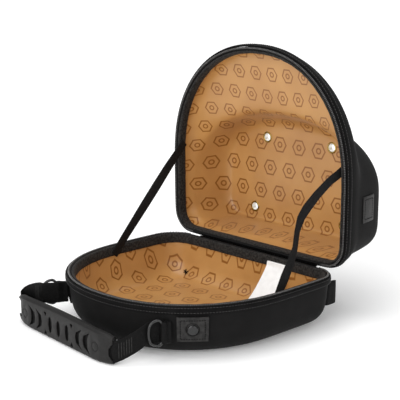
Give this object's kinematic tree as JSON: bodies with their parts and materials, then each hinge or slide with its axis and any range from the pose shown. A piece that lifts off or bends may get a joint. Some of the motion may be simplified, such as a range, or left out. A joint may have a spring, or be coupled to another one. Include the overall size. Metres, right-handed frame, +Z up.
{
  "type": "baseball cap carrier case",
  "caption": "Open clamshell carrier case for a baseball cap: shallow padded tray, domed lid with vents, zipped rim, elastic stays and a strap handle with a moulded grip.",
  "frame": {"origin": "on the floor, under the middle of the tray's outline, where the tray rests", "axes": "+Z up, +Y from the nose and handle of the tray towards the hinge and the open lid, +X to the right seen from the front of the tray"},
  "size_m": [0.3024, 0.3898, 0.3288],
  "materials": {
    "shell_cloth": "fine woven black cloth moulded over foam, slight sheen",
    "band_cloth": "black cloth band, stitched along both edges",
    "printed_lining": "tan satin lining with a darker outlined print, soft sheen",
    "zip_nylon": "black nylon coil on tape",
    "binding_knit": "black knit binding, matt",
    "eyelet_brass": "polished brass, slightly worn",
    "patch_leather": "dark grained leather, stitched round the edge",
    "stay_elastic": "black ribbed elastic",
    "label_satin": "white satin, bare",
    "webbing": "black ribbed nylon webbing",
    "black_metal": "black plated metal, glossy",
    "grip_rubber": "dark grey moulded rubber, matt"
  },
  "bodies": {
    "root": {"tray_shell": "shell_cloth", "tray_lining": "printed_lining", "tray_edge_band": "band_cloth", "tray_zipper": "zip_nylon", "tray_binding": "binding_knit", "lid_shell": "shell_cloth", "lid_lining": "printed_lining", "lid_edge_band": "band_cloth", "lid_zipper": "zip_nylon", "lid_binding": "binding_knit", "eyelet_upper_left": "eyelet_brass", "eyelet_upper_right": "eyelet_brass", "eyelet_lower_left": "eyelet_brass", "eyelet_lower_right": "eyelet_brass", "lid_side_patch": "patch_leather", "hinge_strip": "band_cloth", "stay_left": "stay_elastic", "stay_right": "stay_elastic", "care_label": "label_satin", "tray_corner_tag": "webbing", "zip_slider": "black_metal", "ring_patch_near": "patch_leather", "rivet_near": "black_metal", "ring_tab_near": "webbing", "d_ring_near": "black_metal", "ring_patch_far": "patch_leather", "rivet_far": "black_metal", "ring_tab_far": "webbing", "d_ring_far": "black_metal", "handle_grip": "grip_rubber", "handle_webbing": "webbing"}
  },
  "joints": []
}
